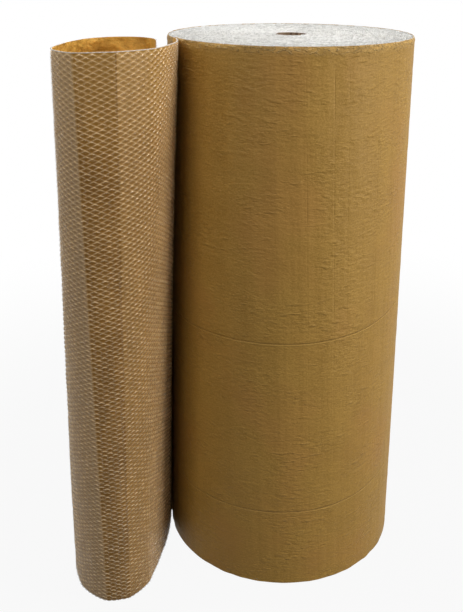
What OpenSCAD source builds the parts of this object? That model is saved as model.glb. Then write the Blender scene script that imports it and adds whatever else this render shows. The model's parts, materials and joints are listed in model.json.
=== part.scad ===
// Roll of kraft-backed bubble wrap, standing on its end, with its free end curled into a loose tube.
// The web is one strip: it is wound anticlockwise seen from above, with its kraft face outward and
// its bubbles inward, and the curled end turns its bubbles outward.
// Origin: the roll's axis on the floor. +Z up. Millimetres.

/* [Web] */
// Width of the web, which is the height of the standing roll
web_w = 1200; // [600:50:1600]
// Thickness of the kraft paper and film together
backing_t = 0.8; // [0.4:0.1:1.5]
// Height of one bubble above the backing
bubble_h = 3.5; // [2:0.5:5]
// Distance from one column of bubbles to the next
bubble_pitch = 10.8; // [9:0.1:14]
// Flat strip left between two columns
bubble_gap = 1.2; // [0.4:0.1:3]

/* [Roll] */
// Diameter of the wound roll
roll_d = 540; // [400:10:640]
// Diameter of the open eye that the web is wound around
eye_d = 60; // [40:5:100]
// Turns of the web from one end groove to the next
turns_per_groove = 3; // [2:1:6]
// Width of the groove that marks a turn on the ends
groove_w = 1.2; // [0.8:0.1:2.4]
// Depth of that groove
groove_depth = 3; // [1:0.5:6]

/* [Loose end] */
// Angle around the roll at which the web leaves it
leave_angle = 195; // [190:1:220]
// Radius of the bend where the web leaves the roll
lead_r = 250; // [150:10:350]
// Straight run from that bend to the tube
lead_run = 135; // [80:5:180]
// Width of the tube inside
tube_w = 188; // [150:2:230]
// Length of the tube's flat outer side
side_run = 60; // [20:5:120]
// Gap between the web's end and the run that it curls back to
end_gap = 20; // [14:1:30]
// Straight piece at the web's end
end_run = 15; // [5:1:40]

/* [Hidden] */
web_t = backing_t + bubble_h;
bubble_d = bubble_pitch - bubble_gap;     // width of a column at its foot
roll_r = roll_d / 2;
groove_pitch = turns_per_groove * web_t;
past = 1;                                 // a cut runs this far past the face it opens
roll_step = 3;                            // degrees between points of the roll's outline
bend_step = 10;                           // degrees between points of the loose end's bends
groove_start = 4;                         // degrees between the groove's outer end and the leaving web
eye_wall = 6;                             // least distance from the eye to the innermost groove
front_r = tube_w / 2;
back_r = (tube_w - end_gap) / 2;

// The loose end's kraft face as rows of radius, angle turned clockwise and straight run after it
loose_end = [
    [lead_r, leave_angle - 180, lead_run],
    [front_r, 180, side_run],
    [back_r, 180, end_run]
];

function arc_length(bend) = bend[0] * bend[1] * PI / 180;
function bend_length(bend) = arc_length(bend) + bend[2];
function length_to(i) = i == 0 ? 0 : length_to(i - 1) + bend_length(loose_end[i - 1]);
function forward(heading) = [cos(heading), sin(heading)];
function right_of(heading) = [sin(heading), -cos(heading)];

// Where the kraft face is after a distance s within one bend that starts at point p
function along(bend, p, heading, s) =
    let (
        turned = min(s / arc_length(bend), 1) * bend[1],
        centre = p + bend[0] * right_of(heading),
        straight = max(s - arc_length(bend), 0)
    )
    [centre - bend[0] * right_of(heading - turned) + straight * forward(heading - turned),
     heading - turned];

leave_point = roll_r * forward(leave_angle);
function bend_start(i) = i == 0
    ? [leave_point, leave_angle + 90]
    : let (before = bend_start(i - 1), bend = loose_end[i - 1])
      along(bend, before[0], before[1], bend_length(bend));
function bend_at(s, i = 0) =
    i == len(loose_end) - 1 || s < length_to(i + 1) ? i : bend_at(s, i + 1);
starts = [for (i = [0 : len(loose_end) - 1]) bend_start(i)];
offsets = [for (i = [0 : len(loose_end) - 1]) length_to(i)];
loose_length = length_to(len(loose_end));

// A point beside the kraft face: s along the loose end, out towards the bubbles
function beside(s, out) =
    let (
        i = bend_at(s),
        place = along(loose_end[i], starts[i][0], starts[i][1], s - offsets[i])
    )
    place[0] - out * right_of(place[1]);

// The outermost turn: one web thickness further in after a whole turn back
roll_outline = [
    for (back = [360 - roll_step : -roll_step : 0])
        (roll_r - web_t * back / 360) * forward(leave_angle - back)
];
kraft_face = [
    for (i = [0 : len(loose_end) - 1])
        for (turned = [i == 0 ? bend_step : 0 : bend_step : loose_end[i][1] + bend_step - 1])
            beside(offsets[i] + min(turned / loose_end[i][1], 1) * arc_length(loose_end[i]), 0)
];
// Each column of bubbles is a low arch: foot, shoulder, crown, shoulder, foot
columns = floor(loose_length / bubble_pitch);
first_column = (loose_length - columns * bubble_pitch) / 2;
arch = [[-1, 0], [-0.8, 0.6], [-0.3, 0.95], [0.3, 0.95], [0.8, 0.6], [1, 0]];
bubble_face = [
    for (i = [columns - 1 : -1 : 1])
        for (k = [len(arch) - 1 : -1 : 0])
            beside(first_column + (i + 0.5) * bubble_pitch + arch[k][0] * bubble_d / 2,
                   backing_t + arch[k][1] * bubble_h)
];
web_end = [beside(loose_length, 0), beside(loose_length, backing_t)];
crevice = (roll_r - web_t) * forward(leave_angle);

// Two half circles a turn, with centres half a pitch apart, make the groove's spiral
groove_outer_r = roll_r - web_t;
groove_turns = floor((groove_outer_r - eye_d / 2 - eye_wall) / groove_pitch);
module half_groove(r, from, span) {
    rotate([0, 0, from])
        rotate_extrude(angle = span, $fn = 32)
            translate([r - groove_w / 2, 0])
                square([groove_w, groove_depth + past]);
}
module spiral_groove() {
    rotate([0, 0, leave_angle]) {
        for (turn = [0 : groove_turns - 1]) {
            r = groove_outer_r - turn * groove_pitch;
            trim = turn == 0 ? groove_start : 0;
            half_groove(r, 180, 180 - trim);
            translate([-groove_pitch / 2, 0, 0]) half_groove(r - groove_pitch / 2, 0, 180);
        }
    }
}

module bubble_wrap() {
    color("tan")
        difference() {
            linear_extrude(web_w)
                polygon(concat(roll_outline, kraft_face, web_end, bubble_face, [crevice]));
            translate([0, 0, -past]) cylinder(h = web_w + 2 * past, d = eye_d, $fn = 96);
            translate([0, 0, web_w - groove_depth]) spiral_groove();
            translate([0, 0, -past]) spiral_groove();
        }
}

bubble_wrap();
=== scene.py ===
import json
import math
import bpy
import numpy as np
from mathutils import Matrix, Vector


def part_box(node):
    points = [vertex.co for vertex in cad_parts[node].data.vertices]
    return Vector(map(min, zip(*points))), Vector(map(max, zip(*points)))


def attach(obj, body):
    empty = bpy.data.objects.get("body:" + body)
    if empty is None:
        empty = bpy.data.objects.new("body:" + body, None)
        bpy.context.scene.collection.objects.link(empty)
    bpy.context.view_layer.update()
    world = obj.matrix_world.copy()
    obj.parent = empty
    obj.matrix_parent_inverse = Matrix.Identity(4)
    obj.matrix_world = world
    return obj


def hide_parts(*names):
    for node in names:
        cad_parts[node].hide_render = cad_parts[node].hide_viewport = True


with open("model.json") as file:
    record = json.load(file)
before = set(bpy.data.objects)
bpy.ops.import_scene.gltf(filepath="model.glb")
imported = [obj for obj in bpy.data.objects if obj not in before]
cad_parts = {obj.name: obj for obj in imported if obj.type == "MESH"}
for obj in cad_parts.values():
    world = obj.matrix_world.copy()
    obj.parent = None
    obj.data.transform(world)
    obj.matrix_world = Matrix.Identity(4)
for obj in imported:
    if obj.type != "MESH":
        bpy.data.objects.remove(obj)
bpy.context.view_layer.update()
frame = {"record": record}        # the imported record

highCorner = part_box("bubble_wrap")[1]
webWidth = highCorner.z
rollRadius = highCorner.y
eyeRadius = frame["record"]["mounts"][0]["dims"]["r_mm"] / 1000

# The web itself, in metres
web = {
    "thickness": 0.0043,          # paper, film and bubbles together
    "backing": 0.0008,            # paper and flat film
    "bubble": 0.0036,             # height of a bubble over the flat film
    "columnPitch": 0.0108,
    "rowPitch": 0.0105,
}

# How the web is wound, and where it leaves the roll
winding = {
    "spread": 0.03,               # share by which the roll widens to its foot and narrows to its top
    "leaveTop": 205,              # degrees around the roll
    "leaveFoot": 187,
}

# The loose end's bends from the roll to its free edge: radius, then degrees turned clockwise
curl = {
    "topBends": [(0.178, 25), (0.315, 20), (0.1248, 32), (1.0, 1.4), (0.03, 12.4), (0.5, 5.2), (0.055, 25),
                 (0.015, 20), (0.0905, 64), (0.50, 15), (0.09, 70), (0.06, 75), (0.20, 10)],
    "footBends": [(0.611, 7), (0.90, 11.4), (0.03, 12), (0.1477, 24), (0.02, 22), (0.120, 20), (0.02, 16),
                  (0.110, 38), (0.160, 36.6), (0.30, 12), (0.0772, 73), (0.07, 75), (0.20, 10)],
    "length": 0.83,
    "footKept": 0.40,             # how far up the sides keep the foot's shape
}


def traceBends(bends, leave, steps=4000):
    # the curl's line in plan from the point where it leaves the roll, at even steps of its length
    lengths = np.array([radius * math.radians(turn) for radius, turn in bends])
    ends = np.cumsum(lengths)
    along = np.linspace(0, ends[-1], steps)
    heading = math.radians(leave) + math.pi / 2
    corner = np.zeros(2)
    line = np.zeros((steps, 2))
    for i, (radius, turn) in enumerate(bends):
        inBend = (along >= ends[i] - lengths[i]) & (along <= ends[i])
        centre = corner + radius * np.array([math.sin(heading), -math.cos(heading)])
        angle = heading - (along[inBend] - ends[i] + lengths[i]) / radius
        line[inBend] = centre - radius * np.stack([np.sin(angle), -np.cos(angle)], -1)
        heading -= math.radians(turn)
        corner = centre - radius * np.array([math.sin(heading), -math.cos(heading)])
    return line


topLine = traceBends(curl["topBends"], winding["leaveTop"])
footLine = traceBends(curl["footBends"], winding["leaveFoot"])
lineShare = np.linspace(0, 1, len(topLine))


def radiusAt(height):
    return rollRadius * (1 + winding["spread"] * (1 - 2 * height / webWidth))


def leaveAt(height):
    degrees = winding["leaveFoot"] + (winding["leaveTop"] - winding["leaveFoot"]) * height / webWidth
    return np.radians(degrees)


def webPlace(along, height):
    # the paper face: along is below 0 on the roll's outer turn and above 0 on the loose end
    along, height = np.broadcast_arrays(np.asarray(along, float), np.asarray(height, float))
    turned = np.minimum(along, 0) / rollRadius
    radius = radiusAt(height) + web["thickness"] * turned / (2 * math.pi)
    angle = leaveAt(height) + turned
    place = np.stack([radius * np.cos(angle), radius * np.sin(angle), height], -1)
    share = np.clip(along / curl["length"], 0, 1)
    up = height / webWidth
    up = up - curl["footKept"] * up * (1 - up)
    for axis in (0, 1):
        foot = np.interp(share, lineShare, footLine[:, axis])
        top = np.interp(share, lineShare, topLine[:, axis])
        place[..., axis] += foot * (1 - up) + top * up
    return place


def webFrame(along, height):
    # unit vectors along the web, up it and out of its paper face
    step = 0.0006
    forward = webPlace(along + step, height) - webPlace(along - step, height)
    rise = webPlace(along, height + step) - webPlace(along, height - step)
    forward /= np.linalg.norm(forward, axis=-1, keepdims=True)
    rise /= np.linalg.norm(rise, axis=-1, keepdims=True)
    return forward, rise, np.cross(forward, rise)


def ripple(along, height, cellAlong, cellHeight, seed, cells=128):
    # smooth random relief between -1 and 1
    table = np.random.default_rng(seed).uniform(-1, 1, (cells, cells))
    u, v = along / cellAlong, height / cellHeight
    i, j = np.floor(u).astype(int), np.floor(v).astype(int)
    a, b = u - i, v - j
    a, b = a * a * (3 - 2 * a), b * b * (3 - 2 * b)
    i, j = i % cells, j % cells
    k, m = (i + 1) % cells, (j + 1) % cells
    near = table[i, j] * (1 - a) + table[k, j] * a
    far = table[i, m] * (1 - a) + table[k, m] * a
    return near * (1 - b) + far * b


# Relief of the wound paper, as height, length along the web, length up it and seed
rollRelief = {
    "waves": [(0.0006, 0.150, 0.80, 3), (0.0003, 0.045, 0.50, 5), (0.0003, 0.034, 0.016, 7)],
    "crumple": 0.0019,            # at the top edge
    "crumpleCells": (0.016, 0.008, 11),
    "crumpleOut": 0.4,            # it stands out of the paper more than it dips in
    "crumpleDepth": 0.010,
    "footCrumple": 0.00095,
    "footCells": (0.020, 0.010, 13),
    "edgeLean": 0.0016,           # the top edge leans in by this much
    "leanReach": 1.3,             # over so many crumple depths
    "creaseHeights": [0.599, 0.189],
    "creaseRise": 0.033,          # how far a crease climbs at the roll's right side
    "riseAngle": -6,              # where it is highest, in degrees, and how far the climb reaches
    "riseReach": 45,
    "crease": 0.0005,
    "creaseWidth": 0.0022,
    "foldDrift": 0.11,            # sideways drift of the upright fold lines for each metre down
}


def riseAt(along, height):
    angle = np.degrees(leaveAt(height) + np.minimum(along, 0) / rollRadius)
    angle = (angle + 180) % 360 - 180
    fromPeak = (angle - rollRelief["riseAngle"]) / rollRelief["riseReach"]
    return rollRelief["creaseRise"] * np.exp(-fromPeak ** 2)


def reliefOnRoll(along, height):
    relief = np.zeros(np.broadcast(along, height).shape)
    for size, cellAlong, cellHeight, seed in rollRelief["waves"]:
        relief += size * ripple(along, height, cellAlong, cellHeight, seed)
    for base in rollRelief["creaseHeights"]:
        gap = (height - riseAt(along, height) - base) / rollRelief["creaseWidth"]
        relief -= rollRelief["crease"] * np.exp(-gap ** 2)
    fromTop = (webWidth - height) / rollRelief["crumpleDepth"]
    crumple = ripple(along, height, *rollRelief["crumpleCells"]) + rollRelief["crumpleOut"]
    relief += rollRelief["crumple"] * np.exp(-fromTop ** 2) * crumple
    lean = np.clip(rollRelief["leanReach"] - fromTop, 0, rollRelief["leanReach"])
    relief -= rollRelief["edgeLean"] * lean ** 2
    foot = np.exp(-(height / rollRelief["crumpleDepth"]) ** 2)
    relief += foot * rollRelief["footCrumple"] * ripple(along, height, *rollRelief["footCells"])
    return relief


# Relief of the loose end: soft crumples, and upright folds at which it turns more sharply,
# as the fold's place at the top and at the foot, its height and the width of its slopes
curlRelief = {
    "waves": [(0.0010, 0.060, 0.35, 17), (0.0006, 0.022, 0.030, 19)],
    "folds": [(0.085, 0.080, 0.0010, 0.018), (0.216, 0.252, 0.0014, 0.020), (0.288, 0.319, 0.0012, 0.010),
              (0.364, 0.367, 0.0012, 0.010), (0.425, 0.450, 0.0014, 0.018), (0.545, 0.550, 0.0020, 0.022),
              (0.670, 0.660, 0.0016, 0.018)],
    "foldTip": 0.0015,            # how round the fold's ridge is
    "wander": 0.004,              # how far a fold strays from its straight line
    "wanderCells": (0.17, 1, 29),
    "start": 0.03,                # the roll's relief gives way to the loose end's over this length
}


def reliefOnCurl(along, height):
    relief = np.zeros(np.broadcast(along, height).shape)
    for size, cellAlong, cellHeight, seed in curlRelief["waves"]:
        relief += size * ripple(along, height, cellAlong, cellHeight, seed)
    tip = curlRelief["foldTip"]
    for top, foot, size, width in curlRelief["folds"]:
        share = height / webWidth
        wander = curlRelief["wander"] * ripple(height, height * 0, *curlRelief["wanderCells"])
        gap = along - (foot * (1 - share) + top * share) - wander
        relief -= size * np.exp(-(np.sqrt(gap ** 2 + tip ** 2) - tip) / width)
    return relief * np.clip(along / curlRelief["start"], 0, 1)


def paperFace(along, height, lift=0.0):
    # the paper face with its relief, moved out of the paper by lift
    along, height = np.broadcast_arrays(np.asarray(along, float), np.asarray(height, float))
    onRoll = along <= 0
    relief = np.where(onRoll, reliefOnRoll(along, height), 0)
    blend = np.clip(along / curlRelief["start"], 0, 1)
    relief += np.where(onRoll, 0, reliefOnRoll(along * 0, height) * (1 - blend) + reliefOnCurl(along, height))
    return webPlace(along, height) + webFrame(along, height)[2] * (relief + lift)[..., None]


class Signal:
    # a socket's value that can be used in plain expressions
    def __init__(self, finish, socket):
        self.finish = finish
        self.socket = socket

    def maths(self, operation, first, second=0.0):
        made = self.finish.node("ShaderNodeMath", {"operation": operation}, {0: first, 1: second})
        return Signal(self.finish, made.outputs[0])

    def __add__(self, other):
        return self.maths("ADD", self, other)

    def __radd__(self, other):
        return self.maths("ADD", other, self)

    def __sub__(self, other):
        return self.maths("SUBTRACT", self, other)

    def __rsub__(self, other):
        return self.maths("SUBTRACT", other, self)

    def __mul__(self, other):
        return self.maths("MULTIPLY", self, other)

    def __truediv__(self, other):
        return self.maths("DIVIDE", self, other)

    def __abs__(self):
        return self.maths("ABSOLUTE", self)

    def above(self, low, high):
        # 0 below low, 1 above high and a smooth step between
        made = self.finish.node("ShaderNodeMapRange", {"interpolation_type": "SMOOTHSTEP"},
                                {"Value": self, "From Min": low, "From Max": high})
        return Signal(self.finish, made.outputs[0])


class Finish:
    # one material, or the world's node tree, and the few ways in which its nodes are made
    def __init__(self, name, tree=None):
        if tree is None:
            self.material = bpy.data.materials.new(name)
            self.material.use_nodes = True
            tree = self.material.node_tree
        self.tree = tree
        self.tree.nodes.clear()

    def node(self, kind, settings=None, sockets=None):
        made = self.tree.nodes.new(kind)
        for key, value in (settings or {}).items():
            setattr(made, key, value)
        for key, value in (sockets or {}).items():
            if isinstance(value, Signal):
                self.tree.links.new(value.socket, made.inputs[key])
            else:
                made.inputs[key].default_value = value
        return made

    def attribute(self, name, output="Vector"):
        return Signal(self, self.node("ShaderNodeAttribute", {"attribute_name": name}).outputs[output])

    def parts(self, vector):
        made = self.node("ShaderNodeSeparateXYZ", {}, {0: vector})
        return [Signal(self, made.outputs[i]) for i in range(3)]

    def stretched(self, vector, scale):
        made = self.node("ShaderNodeVectorMath", {"operation": "MULTIPLY"}, {0: vector, 1: scale})
        return Signal(self, made.outputs[0])

    def distance(self, vector):
        made = self.node("ShaderNodeVectorMath", {"operation": "LENGTH"}, {0: vector})
        return Signal(self, made.outputs["Value"])

    def noise(self, vector, scale, detail=2.0, roughness=0.5):
        made = self.node("ShaderNodeTexNoise", {}, {"Vector": self.stretched(vector, scale), "Scale": 1.0,
                                                   "Detail": detail, "Roughness": roughness})
        return Signal(self, made.outputs[0])

    def weave(self, signal):
        # runs evenly from 0 at each even number to 1 at each odd one
        return signal.maths("PINGPONG", signal, 1.0)

    def facets(self, vector, scale):
        # flat slanting facets with sharp edges between them, as in crumpled paper
        made = self.node("ShaderNodeTexVoronoi", {}, {"Vector": self.stretched(vector, scale), "Scale": 1.0})
        return Signal(self, made.outputs["Distance"])

    def mix(self, factor, first, second):
        made = self.node("ShaderNodeMix", {"data_type": "RGBA"}, {0: factor, 6: first, 7: second})
        return Signal(self, made.outputs[2])

    def bump(self, height, distance):
        made = self.node("ShaderNodeBump", {}, {"Height": height, "Distance": distance, "Strength": 1.0})
        return Signal(self, made.outputs[0])

    def surface(self, **values):
        # names are the Principled shader's sockets with the spaces left out
        made = self.node("ShaderNodeBsdfPrincipled")
        byName = {socket.name.replace(" ", ""): socket.name for socket in made.inputs}
        for key, value in values.items():
            target = made.inputs[byName[key]]
            if isinstance(value, Signal):
                self.tree.links.new(value.socket, target)
            else:
                target.default_value = value
        return Signal(self, made.outputs[0])

    def finished(self, shader):
        self.node("ShaderNodeOutputMaterial", {}, {"Surface": shader})
        return self.material


# Colours are linear
paper = {
    "kraftDark": (0.315, 0.170, 0.028, 1),
    "kraftLight": (0.490, 0.285, 0.062, 1),
    "kraftRed": (0.430, 0.216, 0.050, 1),
    "kraftEdge": (0.580, 0.370, 0.130, 1),
    # the loose end's inner kraft is painted paler than the roll's own kraft, as painted light
    "insideDark": (0.480, 0.240, 0.030, 1),
    "insideLight": (0.860, 0.490, 0.090, 1),
    "cutDark": (0.560, 0.480, 0.350, 1),
    "cutLight": (0.760, 0.700, 0.580, 1),
    "roughness": 0.60,
    "gloss": 0.28,
    "bump": 0.0021,               # metres
    "grain": 240,                 # fibre clumps for each metre
    # upright fold lines of the outer turn, each also darkened with painted shade: place along the web and
    # depth
    "foldLines": [(-1.519, 0.4), (-1.353, 0.6), (-1.296, 1.0), (-1.264, 0.5), (-1.188, 0.6), (-1.127, 0.5),
                  (-0.900, 0.6), (-0.520, 0.8), (-0.330, 0.5)],
    "foldWidth": 0.0024,
    "grooveAbove": 0.0008,        # a crease's groove, darkened with painted shade, and its lip, lightened with a painted highlight, from its height
    "lipBelow": 0.0022,
    "paleFrom": 0.020,            # a painted highlight on the crumpled top edge fades in between these distances from it
    "paleTo": 0.006,
}


def kraftPaper():
    finish = Finish("kraft_paper")
    sheet = finish.attribute("web")
    along, level, height = finish.parts(sheet)
    grain = finish.noise(sheet, (paper["grain"], paper["grain"] * 1.3, 0), 3, 0.75)
    blotch = finish.noise(sheet, (14, 11, 0), 3)
    hue = finish.noise(sheet, (6, 5, 0), 2).above(0.45, 0.7)
    patch = finish.noise(sheet, (9, 13, 0), 2).above(0.40, 0.62)
    streak = finish.noise(sheet, (38, 1.3, 0), 2)
    pucker = finish.noise(sheet, (64, 150, 0), 3, 0.55)
    dent = finish.noise(sheet, (36, 95, 0), 1, 0.5).above(0.58, 0.74)
    nearTop = height.above(webWidth - paper["paleFrom"], webWidth - paper["paleTo"])
    upperHalf = height.above(0.55, 1.15)
    crumple = finish.noise(sheet, (95, 190, 0), 2, 0.6).above(0.50, 0.64)
    wrinkled = finish.noise(sheet, (9, 8, 0), 1).above(0.44, 0.62) * upperHalf
    wrinkle = finish.facets(sheet, (30, 44, 0)) * wrinkled
    lines = 0.0
    for place, depth in paper["foldLines"]:
        lines = lines + (1 - abs(along - place) / paper["foldWidth"]).above(0, 1) * depth
    lines = lines * height.above(0.15, 0.9) * finish.noise(sheet, (0, 14, 0), 2).above(0.35, 0.6)
    groove = 0.0
    lip = 0.0
    for base in rollRelief["creaseHeights"]:
        crease = level - base
        groove = groove + (1 - abs(crease - paper["grooveAbove"]) / rollRelief["creaseWidth"]).above(0, 1)
        lip = lip + (1 - abs(crease + paper["lipBelow"]) / rollRelief["creaseWidth"]).above(0, 1)
    relief = ((pucker - 0.5) * (patch * 0.9 + 0.65) + dent * (patch * 0.4 + 0.15) + grain * 0.28
              + streak * 1.1 + nearTop * crumple * 1.4 + wrinkle * 0.7 - lines * 0.26 - groove * 0.5
              + lip * 0.4)
    # painted shade in the fold lines and crease grooves, and a painted highlight on the crease lips
    tone = ((grain - 0.5) * 2.1 + (blotch - 0.5) * 0.6 + (pucker - 0.5) * (patch * 0.6 + 0.4)
            + (streak - 0.5) * 0.32 - lines * 0.08 - groove * 0.22 + lip * 0.62)
    colour = finish.mix((tone + 0.5).above(-0.1, 1.1), paper["kraftDark"], paper["kraftLight"])
    colour = finish.mix(hue * 0.5, colour, paper["kraftRed"])
    # painted highlight on the crumples along the top edge
    colour = finish.mix(nearTop * (crumple * 0.75 + 0.25), colour, paper["kraftEdge"])
    return finish.finished(finish.surface(
        BaseColor=colour, Roughness=blotch * 0.16 + (paper["roughness"] - 0.08),
        SpecularIORLevel=paper["gloss"], Normal=finish.bump(relief, paper["bump"])))


def kraftInside():
    finish = Finish("kraft_inside")
    sheet = finish.attribute("web")
    grain = finish.noise(sheet, (paper["grain"], paper["grain"] * 1.3, 0), 3, 0.7)
    blotch = finish.noise(sheet, (34, 30, 0), 3)
    crumple = finish.noise(sheet, (75, 95, 0), 4, 0.62)
    creases = finish.facets(sheet, (34, 48, 0))
    tone = (grain - 0.5) * 0.6 + (blotch - 0.5) * 1.0 + (crumple - 0.5) * 1.4 + (creases - 0.4) * 0.4
    # colours paler than the roll's kraft: painted light
    colour = finish.mix((tone + 0.45).above(0, 1), paper["insideDark"], paper["insideLight"])
    return finish.finished(finish.surface(
        BaseColor=colour, Roughness=0.6, SpecularIORLevel=0.3,
        Normal=finish.bump(crumple * 1.4 + creases * 1.3 + grain * 0.1, 0.0030)))


# The paper under the flat film. Painted light and shade make it paler or darker from one fold of the loose
# end to the next, as light falls on each turned stretch: the first stretch's paleness, then each fold's place
# at the top and at the foot, the change there and how much paler or darker the line of the fold itself is
underFilm = {
    "dark": (0.165, 0.070, 0.009, 1),
    "light": (0.315, 0.150, 0.024, 1),
    "pale": (0.620, 0.365, 0.100, 1),
    "net": (0.820, 0.580, 0.310, 1),
    "netShare": 0.34,
    "netMore": 0.62,              # more of the painted highlight, added towards the top
    "middleShare": 0.42,          # painted shade: the middle of each bubble is darker
    "firstStretch": 0.24,
    "stretches": [(0.288, 0.319, -0.22, -0.55), (0.364, 0.367, 0.20, 0.30)],
    "edgeBlend": 0.003,           # half the width over which one stretch turns into the next
    "lineWidth": 0.0025,
    "farShare": 0.42,             # the last of these stretches is greyer: a painted reflection
    "far": (0.560, 0.450, 0.320, 1),
    # painted light: paler towards the top
    "topPale": 0.50,
    "footPale": 0.10,
}


def filmOnKraft():
    # the flat film shows a painted highlight along the net of lines where the bubbles meet, painted shade in
    # each bubble's middle, and painted light and shade from one fold to the next
    finish = Finish("film_on_kraft")
    sheet = finish.attribute("web")
    along, height, _ = finish.parts(sheet)
    grain = finish.noise(sheet, (paper["grain"], paper["grain"] * 1.3, 0), 2, 0.6)
    haze = finish.noise(sheet, (22, 9, 0), 3)
    across = along / web["columnPitch"] - 0.5
    upward = height * (2 / web["rowPitch"]) - 1
    rising = finish.weave(across + upward)
    falling = finish.weave(across - upward)
    broken = finish.noise(sheet, (130, 110, 0), 1).above(0.36, 0.60) * 0.75 + 0.45
    net = (rising.above(0.66, 1.0) + falling.above(0.66, 1.0)) * broken
    middle = ((1 - rising) * (1 - falling)).above(0.20, 0.60)
    pale = (height.above(0.98, 1.24) * underFilm["topPale"] + underFilm["firstStretch"]
            + (1 - height.above(0.0, 0.8)) * underFilm["footPale"])
    for top, foot, change, line in underFilm["stretches"]:
        gap = along - foot - height * ((top - foot) / webWidth)
        beyond = gap.above(-underFilm["edgeBlend"], underFilm["edgeBlend"])
        pale = pale + beyond * change + (1 - abs(gap) / underFilm["lineWidth"]).above(0, 1) * line
    colour = finish.mix((grain * 0.45 + haze * 0.55).above(0.3, 0.7), underFilm["dark"], underFilm["light"])
    colour = finish.mix(pale, colour, underFilm["pale"])
    # painted reflection on the last stretch
    colour = finish.mix(beyond * underFilm["farShare"], colour, underFilm["far"])
    colour = finish.mix(middle * underFilm["middleShare"], colour, underFilm["dark"])
    netShare = height.above(0.2, 1.15) * underFilm["netMore"] + underFilm["netShare"]
    colour = finish.mix(net * (haze * 0.8 + 0.1) * netShare, colour, underFilm["net"])
    return finish.finished(finish.surface(
        BaseColor=colour, Roughness=0.40, SpecularIORLevel=0.12,
        Normal=finish.bump(finish.noise(sheet, (120, 120, 0), 2), 0.0008)))


# Clear bubble film: how much of it shows over a bubble's middle and along its rim, its painted shaded and lit
# colours, then the colours of its cut edges, of the gaps between the roll's turns and of the roll's eye,
# which is dark painted shade
film = {
    "clearShare": 0.02,
    "rimShare": 0.34,
    "dashShare": 0.50,            # more of it along the upper part of the rim, as a painted highlight
    "rimStart": 0.66,             # share of the way out at which the rim begins to show
    "hazeShare": 0.06,
    "shaded": (0.300, 0.150, 0.040, 1),
    "lit": (0.900, 0.670, 0.380, 1),
    "cutDark": (0.640, 0.640, 0.625, 1),
    "cutLight": (0.930, 0.930, 0.915, 1),
    "rimDark": (0.800, 0.740, 0.620, 1),
    "rimLight": (0.950, 0.920, 0.840, 1),
    "rimAlpha": 0.65,
    "gapDark": (0.500, 0.495, 0.475, 1),
    "gapLight": (0.860, 0.860, 0.845, 1),
    "eyeDark": (0.110, 0.058, 0.022, 1),
    "eyeLight": (0.300, 0.195, 0.110, 1),
}


def bubbleFilm():
    finish = Finish("bubble_film")
    share, upward, _ = finish.parts(finish.attribute("dome"))
    rim = share.above(film["rimStart"], 1.0)
    # painted light and shade: the upper part of each bubble takes the lit colour and shows more, the lower
    # part the shaded colour
    lit = upward.above(-1.0, 0.7)
    highlightDash = upward.above(0.30, 0.75) * rim
    sheet = finish.attribute("web")
    haze = finish.noise(sheet, (26, 10, 0), 3)
    spread = finish.noise(sheet, (70, 60, 0), 2).above(0.35, 0.65)
    shown = (film["clearShare"] + rim * film["rimShare"] * (lit * 0.75 + 0.25) + haze * film["hazeShare"]
             + highlightDash * spread * film["dashShare"])
    return finish.finished(finish.surface(
        BaseColor=finish.mix(lit * 0.6 + rim * 0.4, film["shaded"], film["lit"]), Roughness=0.17,
        SpecularIORLevel=0.6, Alpha=shown, Normal=finish.bump(finish.noise(sheet, (300, 300, 0), 2), 0.0004)))


def rimFilm():
    finish = Finish("rim_film")
    sheet = finish.attribute("web")
    haze = finish.noise(sheet, (160, 160, 160), 2)
    colour = finish.mix(haze.above(0.35, 0.65), film["rimDark"], film["rimLight"])
    return finish.finished(finish.surface(
        BaseColor=colour, Roughness=0.25, SpecularIORLevel=0.7, Alpha=film["rimAlpha"]))


def turnsTone(finish, sheet):
    # some turns are paler than others, which shows as rings on the roll's ends
    reach = finish.distance(finish.stretched(sheet, (1, 1, 0)))
    rings = finish.noise(reach, (70, 0, 0), 2)
    return (rings - 0.5) * 1.1 + (0.12 - reach.above(0.10, 0.30) * 0.30)


def cutFilm():
    finish = Finish("cut_film")
    sheet = finish.attribute("web")
    tone = finish.attribute("tone", "Fac")
    haze = finish.noise(sheet, (190, 190, 190), 2)
    shade = (haze * 0.6 + tone * 0.7 + turnsTone(finish, sheet)).above(0.25, 1.0)
    colour = finish.mix(shade, film["cutDark"], film["cutLight"])
    return finish.finished(finish.surface(BaseColor=colour, Roughness=0.32, SpecularIORLevel=0.6))


def cutPaper():
    finish = Finish("cut_paper")
    sheet = finish.attribute("web")
    haze = finish.noise(sheet, (200, 200, 200), 2)
    colour = finish.mix(haze, paper["cutDark"], paper["cutLight"])
    return finish.finished(finish.surface(BaseColor=colour, Roughness=0.75))


def betweenTurns():
    finish = Finish("between_turns")
    sheet = finish.attribute("web")
    speck = finish.noise(sheet, (420, 420, 420), 2)
    shade = (speck + turnsTone(finish, sheet) * 0.3).above(0.35, 0.65)
    colour = finish.mix(shade, film["gapDark"], film["gapLight"])
    return finish.finished(finish.surface(BaseColor=colour, Roughness=0.4))


# the roll's eye is painted dark brown as shade
def eyeWall():
    finish = Finish("eye_wall")
    sheet = finish.attribute("web")
    shade = finish.noise(sheet, (120, 120, 60), 3)
    colour = finish.mix(shade.above(0.35, 0.65), film["eyeDark"], film["eyeLight"])
    return finish.finished(finish.surface(BaseColor=colour, Roughness=0.4, SpecularIORLevel=0.5,
                                          Normal=finish.bump(shade, 0.001)))


materials = {make.__name__: make() for make in (
    kraftPaper, kraftInside, filmOnKraft, bubbleFilm, rimFilm, cutFilm, cutPaper, betweenTurns, eyeWall)}
print("materials ready")


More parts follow.
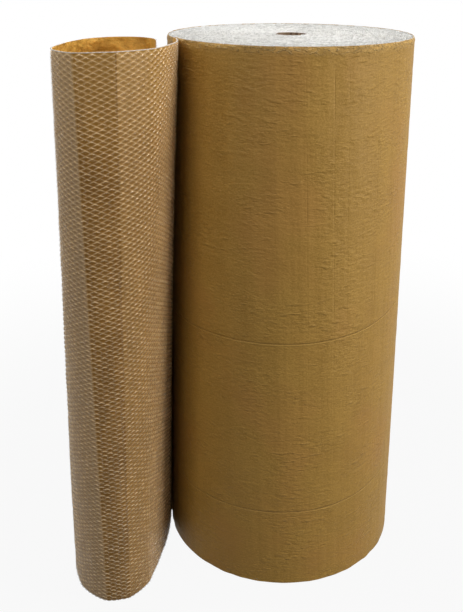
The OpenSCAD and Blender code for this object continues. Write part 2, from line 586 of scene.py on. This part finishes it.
def addPiece(name, places, faces, finishes, faceFinish=None, sheet=None, extras=None, sharp=50):
    mesh = bpy.data.meshes.new(name)
    mesh.from_pydata(places.reshape(-1, 3).tolist(), [], faces)
    for material in finishes:
        mesh.materials.append(materials[material])
    if faceFinish is not None:
        mesh.polygons.foreach_set("material_index", np.asarray(faceFinish, np.int32))
    values = places if sheet is None else sheet
    for key, value in {"web": values.reshape(-1, 3), **(extras or {})}.items():
        kind, field = ("FLOAT_VECTOR", "vector") if value.ndim > 1 else ("FLOAT", "value")
        attribute = mesh.attributes.new(key, kind, "POINT")
        attribute.data.foreach_set(field, value.astype(np.float32).ravel())
    mesh.shade_smooth()
    mesh.set_sharp_from_angle(angle=math.radians(sharp))
    mesh.validate()
    piece = bpy.data.objects.new(name, mesh)
    bpy.context.collection.objects.link(piece)
    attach(piece, "root")
    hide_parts("bubble_wrap")
    mesh.calc_loop_triangles()
    print(name, len(mesh.loop_triangles), "triangles")
    return piece


def rowHeights(count, edge, edgeRows, fine=()):
    # heights up the web: even rows, closer ones at both edges and in each fine band
    even = np.linspace(0, webWidth, count)
    close = np.linspace(0, edge, edgeRows)
    rows = [even[(even > edge * 1.1) & (even < webWidth - edge * 1.1)], close, webWidth - close]
    for low, high, number in fine:
        rows[0] = rows[0][(rows[0] < low) | (rows[0] > high)]
        rows.append(np.linspace(low, high, number))
    return np.unique(np.round(np.concatenate(rows), 6))


def ringFaces(columns, rings, closed):
    # quads between rings of points; each ring is a closed loop, and closed joins the last ring to the first
    k = np.arange(columns)
    last = rings if closed else rings - 1
    faces = []
    for ring in range(last):
        low, high = ring * columns, ((ring + 1) % rings) * columns
        nextOne = (k + 1) % columns
        faces.append(np.stack([low + k, low + nextOne, high + nextOne, high + k], -1))
    return np.concatenate(faces)


# The wound roll: its outer turn, its two ends set back below the turns' edges, and its eye
rollBody = {
    "columns": 250,
    "rows": 170,
    "edgeBack": 0.0006,           # thickness of the outer turn's paper at the ends
    "setBack": 0.0045,            # depth of the space between the turns at the ends
    "eyeLip": 0.0026,             # width of the innermost turn's edge
    "eyeRows": 20,
    "edge": 0.024,                # rows stand closer along both edges and around the two creases
    "edgeRows": 12,
    "creaseRows": [(0.180, 0.232, 30), (0.590, 0.642, 30)],
    "wobble": [(3, 0.05, 0), (5, 0.03, 1)],       # the eye's waves: how many, their size and their shift
    "endShares": (0, 0.12, 0.35, 0.6, 0.85, 1),   # rings from the outer turn to the eye
    "lipBack": 0.0008,
}


def makeRollBody():
    count = rollBody["columns"]
    turn = 2 * math.pi * rollRadius
    along = np.linspace(-turn, 0, count)
    heights = rowHeights(rollBody["rows"], rollBody["edge"], rollBody["edgeRows"], rollBody["creaseRows"])
    rings = [paperFace(along, z) for z in heights]
    sheets = [np.stack([along - rollRelief["foldDrift"] * (webWidth - z), z - riseAt(along, z),
                        np.full(count, z)], -1) for z in heights]
    finishes = [0] * (len(heights) - 1)
    around = np.linspace(0, 2 * math.pi, count, endpoint=False)
    wobble = 1 + sum(size * np.sin(waves * around + shift) for waves, size, shift in rollBody["wobble"])

    def endRings(height, inward):
        # from the outer turn's edge down to the set-back face, and up again to the innermost turn's edge
        rim = paperFace(along, height)
        angle = float(leaveAt(height)) + around
        out = np.stack([np.cos(angle), np.sin(angle), np.zeros(count)], -1)
        level = np.array([0, 0, height])
        eye = out * (eyeRadius * wobble)[:, None] + level
        lip = eye + out * rollBody["eyeLip"]
        edge = rim - rollBody["edgeBack"] * rim * (1, 1, 0) / np.linalg.norm(rim[:, :2], axis=1)[:, None]
        made = [edge]
        for share in rollBody["endShares"]:
            made.append(edge * (1 - share) + lip * share + np.array([0, 0, inward * rollBody["setBack"]]))
        back = np.array([0, 0, inward * rollBody["lipBack"]])
        return made + [lip + back, eye + back]

    topRings = endRings(webWidth, -1)
    footRings = endRings(0.0, 1)[::-1]
    rings += topRings
    finishes += [1, 0] + [2] * (len(topRings) - 4) + [3, 3]
    low, high = footRings[0], topRings[-1]
    for share in np.linspace(0, 1, rollBody["eyeRows"])[1:-1]:
        rings.append(high * (1 - share) + low * share)
    finishes += [3] * (rollBody["eyeRows"] - 1)
    rings += footRings
    finishes += [3, 3] + [2] * (len(footRings) - 4) + [0, 1]
    for ring in rings[len(heights):]:
        sheets.append(ring.copy())
    places = np.concatenate(rings)
    faces = ringFaces(count, len(rings), True)
    finishOf = np.repeat(np.array(finishes[:len(rings)]), count)
    return addPiece("roll_body", places, faces.tolist(), [
        "kraftPaper", "cutPaper", "betweenTurns", "eyeWall"], finishOf, np.concatenate(sheets))


makeRollBody()

# The loose end's paper and flat film, as one closed thin sheet
curlSheet = {"columns": 210, "rows": 70, "edge": 0.03, "edgeRows": 8}


def makeCurlSheet():
    along = np.linspace(0, curl["length"], curlSheet["columns"])
    heights = rowHeights(curlSheet["rows"], curlSheet["edge"], curlSheet["edgeRows"])
    loop = 2 * len(along)
    rings, sheets = [], []
    for z in heights:
        rings.append(np.concatenate([paperFace(along, z), paperFace(along, z, -web["backing"])[::-1]]))
        both = np.concatenate([along, along[::-1]])
        sheets.append(np.stack([both, np.full(loop, z), np.zeros(loop)], -1))
    faces = ringFaces(loop, len(heights), False)
    k = np.arange(len(along) - 1)
    topStart = (len(heights) - 1) * loop
    topCap = topStart + np.stack([k, k + 1, loop - 2 - k, loop - 1 - k], -1)
    footCap = np.stack([loop - 1 - k, loop - 2 - k, k + 1, k], -1)
    ringFinish = np.array([0] * (len(along) - 1) + [2] + [1] * (len(along) - 1) + [2])
    finishOf = np.concatenate([np.tile(ringFinish, len(heights) - 1), np.full(2 * len(k), 2)])
    faces = np.concatenate([faces, topCap, footCap]).tolist()
    tones = np.ones(len(heights) * loop)
    return addPiece("curl_sheet", np.concatenate(rings), faces, ["kraftInside", "filmOnKraft", "cutFilm"],
                    finishOf, np.concatenate(sheets), {"tone": tones})


makeCurlSheet()

# The bubbles on the loose end. They meet along their slanted sides, so each is a rounded diamond.
# Rings of one bubble are radius and height as shares, and a piece is its range of the web and its sides
bubbles = {
    "halfLength": 0.0085,         # along the web
    "halfHeight": 0.0050,
    "roundness": 1.35,            # 2 is an ellipse, 1 is a diamond
    "rings": [(1.0, -0.12), (0.84, 0.55), (0.50, 0.92)],
    "jitter": 0.00012,            # how far a bubble stands off its place
    "rise": (0.88, 1.04),         # least and greatest share of the full height
    "flattened": 0.03,            # share of bubbles that have lost their air
    "flatRise": 0.4,
    "edgeClear": 1.1,             # the last column keeps so many half lengths off the web's edge
    "pieces": [("bubbles_run", 0.0, 0.27, 12), ("bubbles_front", 0.27, 0.53, 12),
               ("bubbles_back", 0.53, 1.0, 8)],
}


def makeBubbles(name, start, stop, sides):
    chance = np.random.default_rng(len(name))
    columns = int(curl["length"] / web["columnPitch"])
    rows = int(webWidth / web["rowPitch"])
    centres = []
    for column in range(1, columns):
        x = (column + 0.5) * web["columnPitch"]
        pastEdge = x + bubbles["edgeClear"] * bubbles["halfLength"] > curl["length"]
        if pastEdge or not start <= x / curl["length"] < stop:
            continue
        for row in range(rows):
            z = (row + 0.5 + 0.5 * (column % 2)) * web["rowPitch"]
            if z + bubbles["halfHeight"] < webWidth:
                centres.append((x, z))
    centres = np.array(centres) + chance.normal(0, bubbles["jitter"], (len(centres), 2))
    rise = chance.uniform(*bubbles["rise"], len(centres))
    rise[chance.random(len(centres)) < bubbles["flattened"]] *= bubbles["flatRise"]
    normal = webFrame(centres[:, 0], centres[:, 1])[2]
    around = np.linspace(0, 2 * math.pi, sides, endpoint=False)
    power = 2 / bubbles["roundness"]
    points, domes, sheets = [], [], []
    for share, lift in bubbles["rings"] + [(0.0, 1.0)]:
        for angle in (around if share else around[:1]):
            across, upward = math.cos(angle), math.sin(angle)
            across = share * math.copysign(abs(across) ** power, across)
            upward = share * math.copysign(abs(upward) ** power, upward)
            along = centres[:, 0] + bubbles["halfLength"] * across
            height = centres[:, 1] + bubbles["halfHeight"] * upward
            base = paperFace(along, height, -web["backing"])
            points.append(base - normal * (web["bubble"] * lift * rise)[:, None])
            domes.append(np.tile([share, upward, lift], (len(centres), 1)))
            sheets.append(np.stack([along, height, 0 * along], -1))
    points, domes, sheets = (np.stack(rows, 1) for rows in (points, domes, sheets))
    one = []
    for ring in range(len(bubbles["rings"]) - 1):
        low, high = ring * sides, (ring + 1) * sides
        for j in range(sides):
            nextOne = (j + 1) % sides
            one.append([low + nextOne, low + j, high + j, high + nextOne])
    top = len(bubbles["rings"]) * sides
    cap = [[top - sides + (j + 1) % sides, top - sides + j, top] for j in range(sides)]
    size = top + 1
    faces = []
    for i in range(len(centres)):
        faces += [[v + i * size for v in face] for face in one + cap]
    return addPiece(name, points, faces, ["bubbleFilm"], None, sheets, {"dome": domes}, sharp=80)


for name, start, stop, sides in bubbles["pieces"]:
    makeBubbles(name, start, stop, sides)

# The turns' edges at an end: paper as a plain spiral, film as one arch for each bubble
turnEdges = {
    "filmArch": [(-0.43, 0.0), (-0.20, 0.95), (0.20, 0.95), (0.43, 0.0)],
    "plainArch": [(-0.44, 0.0), (0.0, 1.0), (0.44, 0.0)],
    "film": 0.0006,
    "paper": 0.0004,
    "depth": 0.005,
    "paperStep": 0.012,
    "paperSet": 0.0020,           # the paper's edge lies this far below the film's
    "uneven": 0.0014,
    "spacing": 0.12,              # how unevenly the bubbles are cut through
    "spacingLimits": (0.7, 1.3),
    "swell": (0.62, 1.0),         # least and greatest share of a bubble's height
    "filmBack": 0.0002,           # gaps between the film's edge and the paper on either side
    "filmGap": 0.0007,
    "firstTurns": 1.5,            # turns at the eye that have no bubbles
    "lastStretch": 0.02,          # and the web's last stretch, which has none either
    "paperStart": 0.1,
    "paperWave": 0.0008,
    "paperCells": (0.03, 1, 23),
    "paperBack": 0.0001,
    "dentBack": 0.0006,           # the turns' edges lie this far inside the roll's own edge
}


def spiralPlace(length, height):
    # points of the winding a given length of web out from the eye, with their outward directions
    pitch = web["thickness"]
    turned = (-eyeRadius + np.sqrt(eyeRadius ** 2 + length * pitch / math.pi)) * 2 * math.pi / pitch
    radius = eyeRadius + pitch * turned / (2 * math.pi)
    whole = 2 * math.pi * (float(radiusAt(height)) - eyeRadius) / pitch
    angle = float(leaveAt(height)) + turned - whole
    out = np.stack([np.cos(angle), np.sin(angle)], -1)
    # the outer turns follow the dents of the roll's edge
    back = np.minimum(turned - whole, 0)
    dent = np.minimum(reliefOnRoll(back * rollRadius, height), 0) - turnEdges["dentBack"]
    dent *= np.clip(1 + back / (4 * math.pi), 0, 1)
    return out * (radius + dent)[:, None], out


def wholeLength(height):
    outer = float(radiusAt(height))
    return math.pi * (outer ** 2 - eyeRadius ** 2) / web["thickness"]


def strip(line, out, thick, low, high):
    # an upright ribbon of a given thickness, open below: four points for each point of the line
    inner = line - out * thick
    corners = [np.c_[line, low], np.c_[line, high], np.c_[inner, high], np.c_[inner, low]]
    points = np.stack(corners, 1)
    k = np.arange(len(line) - 1)[:, None] * 4
    faces = [np.c_[k + j, k + 4 + j, k + 5 + j, k + 1 + j] for j in range(3)]
    return points, np.concatenate(faces)


def makeFilmEdges(name, height, arch, down):
    chance = np.random.default_rng(int(height * 10) + 5)
    inner = 2 * math.pi * eyeRadius * turnEdges["firstTurns"]
    number = int((wholeLength(height) - inner) / web["columnPitch"])
    widths = np.clip(1 + chance.normal(0, turnEdges["spacing"], number), *turnEdges["spacingLimits"])
    widths *= (wholeLength(height) - inner - turnEdges["lastStretch"]) / widths.sum()
    middles = inner + np.cumsum(widths) - widths / 2
    swell = chance.uniform(*turnEdges["swell"], number)
    top = chance.uniform(0, turnEdges["uneven"], number)
    tone = chance.uniform(0, 1, number)
    length = (middles[:, None] + widths[:, None] * np.array([p[0] for p in arch])).ravel()
    inward = (swell[:, None] * np.array([p[1] for p in arch])).ravel()
    inward *= web["bubble"] - turnEdges["filmGap"]
    line, out = spiralPlace(length, height)
    line = line - out * (inward + turnEdges["paper"] + turnEdges["filmBack"])[:, None]
    high = height - down * np.repeat(top, len(arch))
    low = np.full(len(line), height - down * turnEdges["depth"])
    points, faces = strip(line, out, turnEdges["film"], low, high)
    if down < 0:
        faces = faces[:, ::-1]
    tones = np.repeat(tone, len(arch) * 4)
    return addPiece(name, points, faces.tolist(), ["cutFilm"], extras={"tone": tones}, sharp=60)


def makePaperEdges(name, height, down):
    # all turns but the outer one, whose edge belongs to the roll itself
    outer = wholeLength(height) - 2 * math.pi * float(radiusAt(height))
    number = int(outer / turnEdges["paperStep"])
    length = np.linspace(turnEdges["paperStart"], outer, number)
    line, out = spiralPlace(length, height)
    wave = 0.5 + 0.5 * ripple(length, length * 0, *turnEdges["paperCells"])
    high = height - down * (turnEdges["paperSet"] + turnEdges["paperWave"] * wave)
    low = np.full(number, height - down * turnEdges["depth"])
    points, faces = strip(line - out * turnEdges["paperBack"], out, turnEdges["paper"], low, high)
    if down < 0:
        faces = faces[:, ::-1]
    return addPiece(name, points, faces.tolist(), ["cutPaper"], sharp=60)


makeFilmEdges("film_edges_top", webWidth, turnEdges["filmArch"], 1)
makePaperEdges("paper_edges_top", webWidth, 1)
makeFilmEdges("film_edges_foot", 0.0, turnEdges["plainArch"], -1)
makePaperEdges("paper_edges_foot", 0.0, -1)

# The loose end's two edges, where the cut bubbles stand along the sheet as small arches
curlRim = {"height": 0.0013, "lift": 0.50, "thick": 0.0004, "back": 0.0002}


def makeCurlRim():
    number = int(curl["length"] / web["columnPitch"]) - 1
    arch = turnEdges["filmArch"]
    places = np.arange(1, number) + 0.5
    along = (places[:, None] + np.array([p[0] for p in arch])).ravel() * web["columnPitch"]
    lift = np.tile([p[1] for p in arch], len(places)) * web["bubble"] * curlRim["lift"] + web["backing"]
    parts, faceParts, count = [], [], 0
    for height, down in ((webWidth, 1), (0.0, -1)):
        base = paperFace(along, height)
        out = webFrame(along, np.full(len(along), height))[2][:, :2]
        line = base[:, :2] - out * lift[:, None]
        low = np.full(len(along), height - down * curlRim["height"])
        high = np.full(len(along), height - down * curlRim["back"])
        points, faces = strip(line, out, curlRim["thick"], low, high)
        if down < 0:
            faces = faces[:, ::-1]
        parts.append(points.reshape(-1, 3))
        faceParts.append(faces + count)
        count += len(parts[-1])
    faces = np.concatenate(faceParts).tolist()
    return addPiece("curl_rim", np.concatenate(parts), faces, ["rimFilm"], sharp=60)


makeCurlRim()

# The photograph's viewpoint: where the camera stands, how it is turned, and its lens in pixels
view = {
    "distance": 1.790,            # metres in front of the roll's axis
    "height": 1.3645,
    "turn": -0.0687,              # radians
    "tilt": 0.3388,
    "bank": -0.0047,
    "focalPixels": 820.8,
    "axisRow": 240.0,             # the row of the picture that the lens points at
    "frameRows": 612,
    "filmSize": 36.0,
}


def addCamera():
    data = bpy.data.cameras.new("camera")
    data.sensor_width = view["filmSize"]
    data.lens = view["focalPixels"] / view["frameRows"] * view["filmSize"]
    data.shift_y = (view["axisRow"] - view["frameRows"] / 2) / view["frameRows"]
    cosTurn, sinTurn = math.cos(view["turn"]), math.sin(view["turn"])
    cosTilt, sinTilt = math.cos(view["tilt"]), math.sin(view["tilt"])
    cosBank, sinBank = math.cos(view["bank"]), math.sin(view["bank"])
    right = np.array([cosTurn, -sinTurn, 0])
    forward = np.array([sinTurn * cosTilt, cosTurn * cosTilt, -sinTilt])
    up = np.array([sinTurn * sinTilt, cosTurn * sinTilt, cosTilt])
    across = cosBank * right - sinBank * up
    upward = sinBank * right + cosBank * up
    camera = bpy.data.objects.new("camera", data)
    bpy.context.collection.objects.link(camera)
    rotation = np.stack([across, upward, -forward], 1)
    place = Matrix.Translation((0, -view["distance"], view["height"]))
    camera.matrix_world = place @ Matrix(rotation.tolist()).to_4x4()
    bpy.context.scene.camera = camera


addCamera()

# Soft white studio light: each lamp's place, what it points at, its size in metres and power in watts
studio = {
    "lamps": {
        "overhead": ((0.2, 0.25, 3.0), (0, 0, 0.6), 2.0, 78),
        "right": ((2.6, -0.9, 1.4), (0.1, 0, 0.8), 1.2, 51),
        "frontLeft": ((-1.3, -2.5, 2.2), (0, 0, 0.9), 1.2, 24),
        "left": ((-2.6, -0.8, 1.8), (-0.3, -0.2, 0.7), 1.2, 7),
    },
    "world": 0.03,
    "floorWhite": 0.93,           # share of plain white that the camera sees in the floor near the roll
    "floorColour": (0.20, 0.20, 0.196, 1),
    "floorSize": 16.0,
    "floorFade": (0.7, 2.2),      # it turns plain white between these distances
    "floorDrop": 0.0005,          # it lies this far under the roll
}


def addLamp(name, place, target, size, power):
    data = bpy.data.lights.new(name, "AREA")
    data.size = size
    data.energy = power
    lamp = bpy.data.objects.new(name, data)
    bpy.context.collection.objects.link(lamp)
    away = np.array(place, float) - np.array(target, float)
    away /= np.linalg.norm(away)
    side = np.cross((0, 0, 1), away)
    side /= np.linalg.norm(side)
    rotation = np.stack([side, np.cross(away, side), away], 1)
    lamp.matrix_world = Matrix.Translation(place) @ Matrix(rotation.tolist()).to_4x4()


for name, lamp in studio["lamps"].items():
    addLamp(name, *lamp)


def seenDirectly(finish):
    rays = finish.node("ShaderNodeLightPath")
    camera, glossy, through = (Signal(finish, rays.outputs[name]) for name in
                               ("Is Camera Ray", "Is Glossy Ray", "Is Transmission Ray"))
    return (camera + glossy + through).above(0.4, 0.6)


def addFloor():
    finish = Finish("floor")
    place = Signal(finish, finish.node("ShaderNodeNewGeometry").outputs["Position"])
    far = finish.distance(place).above(*studio["floorFade"])
    share = far * (1 - studio["floorWhite"]) + studio["floorWhite"]
    pale = finish.node("ShaderNodeBsdfDiffuse", {}, {"Color": studio["floorColour"]})
    white = finish.node("ShaderNodeEmission", {}, {"Color": (1, 1, 1, 1), "Strength": 1.0})
    both = finish.node("ShaderNodeMixShader", {}, {
        0: seenDirectly(finish) * share,
        1: Signal(finish, pale.outputs[0]),
        2: Signal(finish, white.outputs[0])})
    material = finish.finished(Signal(finish, both.outputs[0]))
    mesh = bpy.data.meshes.new("floor")
    half = studio["floorSize"] / 2
    corners = [(-half, -half, 0), (half, -half, 0), (half, half, 0), (-half, half, 0)]
    mesh.from_pydata(corners, [], [(0, 1, 2, 3)])
    mesh.materials.append(material)
    floor = bpy.data.objects.new("floor", mesh)
    floor.location.z = -studio["floorDrop"]
    bpy.context.collection.objects.link(floor)


def setWorld():
    world = bpy.data.worlds.new("studio")
    world.use_nodes = True
    finish = Finish("studio", world.node_tree)
    level = seenDirectly(finish) * (1 - studio["world"]) + studio["world"]
    back = finish.node("ShaderNodeBackground", {}, {"Color": (1, 1, 1, 1), "Strength": level})
    finish.node("ShaderNodeOutputWorld", {}, {"Surface": Signal(finish, back.outputs[0])})
    bpy.context.scene.world = world


addFloor()
setWorld()
bpy.context.scene.view_settings.view_transform = "Standard"
print("camera, lamps and floor ready")
